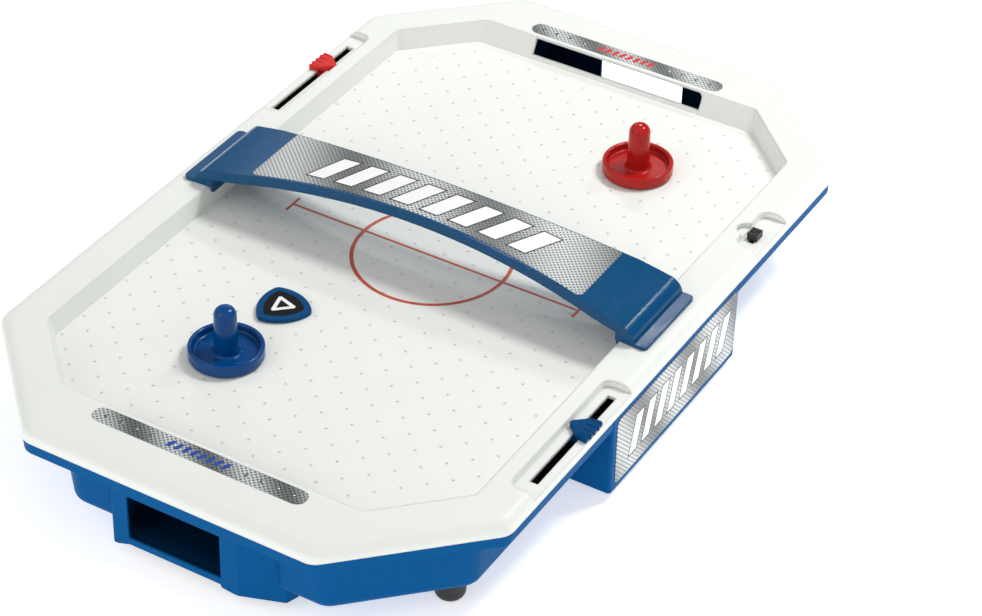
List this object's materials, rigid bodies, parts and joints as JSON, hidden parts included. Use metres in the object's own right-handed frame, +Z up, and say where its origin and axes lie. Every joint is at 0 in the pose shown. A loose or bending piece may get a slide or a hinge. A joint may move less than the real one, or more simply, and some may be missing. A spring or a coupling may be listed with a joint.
{
  "type": "tabletop air hockey game",
  "caption": "Tabletop air hockey table with perforated rink, goal boxes, arched bridge, score markers, fan box, strikers and puck.",
  "frame": {"origin": "middle of the footprint, on the surface that the feet stand on", "axes": "+Z up, +Y along the table towards the red goal, +X across the table towards the blower box"},
  "size_m": [0.41, 0.656, 0.1173],
  "materials": {
    "white_deck": "satin moulded",
    "white_panel": "smooth, printed lines",
    "blue_shell": "satin moulded",
    "blue_bridge": "satin moulded",
    "silver_label": "metallic print",
    "blue_marker": "moulded",
    "red_marker": "moulded",
    "blue_striker": "moulded",
    "red_striker": "moulded",
    "black_plastic": "moulded",
    "foot_rubber": "matt",
    "felt": "felt",
    "steel": "zinc plated",
    "spring_steel": "nickel plated",
    "grey_plastic": "moulded",
    "cell_jacket": "printed jacket",
    "red_insulation": "smooth",
    "black_insulation": "smooth",
    "puck_plastic": "smooth",
    "puck_print": "printed"
  },
  "bodies": {
    "table": {"rim_frame": "white_deck", "playing_panel": "white_panel", "base_tub": "blue_shell", "base_flange": "blue_shell", "front_goal_box": "blue_shell", "rear_goal_box": "blue_shell", "blower_housing": "blue_shell", "blower_base_plate": "blue_shell", "battery_tray": "black_plastic", "batteries": "cell_jacket", "battery_contacts": "spring_steel", "contact_springs": "spring_steel", "fan_volute": "grey_plastic", "motor": "steel", "motor_clamp": "grey_plastic", "score_tracks": "black_plastic", "switch_body": "black_plastic", "red_lead": "red_insulation", "black_lead": "black_insulation", "side_label": "silver_label", "front_goal_label": "silver_label", "rear_goal_label": "silver_label", "feet": "foot_rubber", "foot_screws": "steel", "case_screws": "steel", "goal_box_screws": "steel", "blower_screws": "steel", "motor_screws": "steel"},
    "bridge": {"bridge": "blue_bridge", "bridge_label": "silver_label"},
    "blue_score": {"blue_score_slider": "blue_marker", "blue_score_clip": "blue_marker"},
    "red_score": {"red_score_slider": "red_marker", "red_score_clip": "red_marker"},
    "switch": {"switch_knob": "black_plastic"},
    "fan": {"impeller": "black_plastic", "motor_shaft": "steel"},
    "battery_door": {"battery_door": "blue_shell"},
    "blue_striker": {"blue_striker": "blue_striker", "blue_striker_pad": "felt"},
    "red_striker": {"red_striker": "red_striker", "red_striker_pad": "felt"},
    "puck": {"puck": "puck_plastic", "puck_label": "puck_print"}
  },
  "joints": [
    {"name": "bridge_lift", "type": "slide", "parent": "table", "child": "bridge", "axis": [0, 0, 1], "range_m": [0, 0.04]},
    {"name": "blue_score_slide", "type": "slide", "parent": "table", "child": "blue_score", "axis": [0, 1, 0], "range_m": [-0.0572, 0.0353]},
    {"name": "red_score_slide", "type": "slide", "parent": "table", "child": "red_score", "axis": [0, 1, 0], "range_m": [-0.0655, 0.027]},
    {"name": "switch_slide", "type": "slide", "parent": "table", "child": "switch", "axis": [0, 1, 0], "range_m": [-0.004, 0]},
    {"name": "impeller_spin", "type": "hinge", "parent": "table", "child": "fan", "pos_m": [0.1605, -0.0615, 0.04], "axis": [0, 0, 1], "continuous": true},
    {"name": "battery_door_slide", "type": "slide", "parent": "table", "child": "battery_door", "axis": [1, 0, 0], "range_m": [0, 0.066]},
    {"name": "blue_striker_slide", "type": "slide", "parent": "table", "child": "blue_striker", "axis": [1, 0, 0], "range_m": [-0.082, 0.197]},
    {"name": "red_striker_slide", "type": "slide", "parent": "table", "child": "red_striker", "axis": [1, 0, 0], "range_m": [-0.212, 0.067]},
    {"name": "puck_slide", "type": "slide", "parent": "table", "child": "puck", "axis": [0, 1, 0], "range_m": [-0.014, 0.235]}
  ]
}
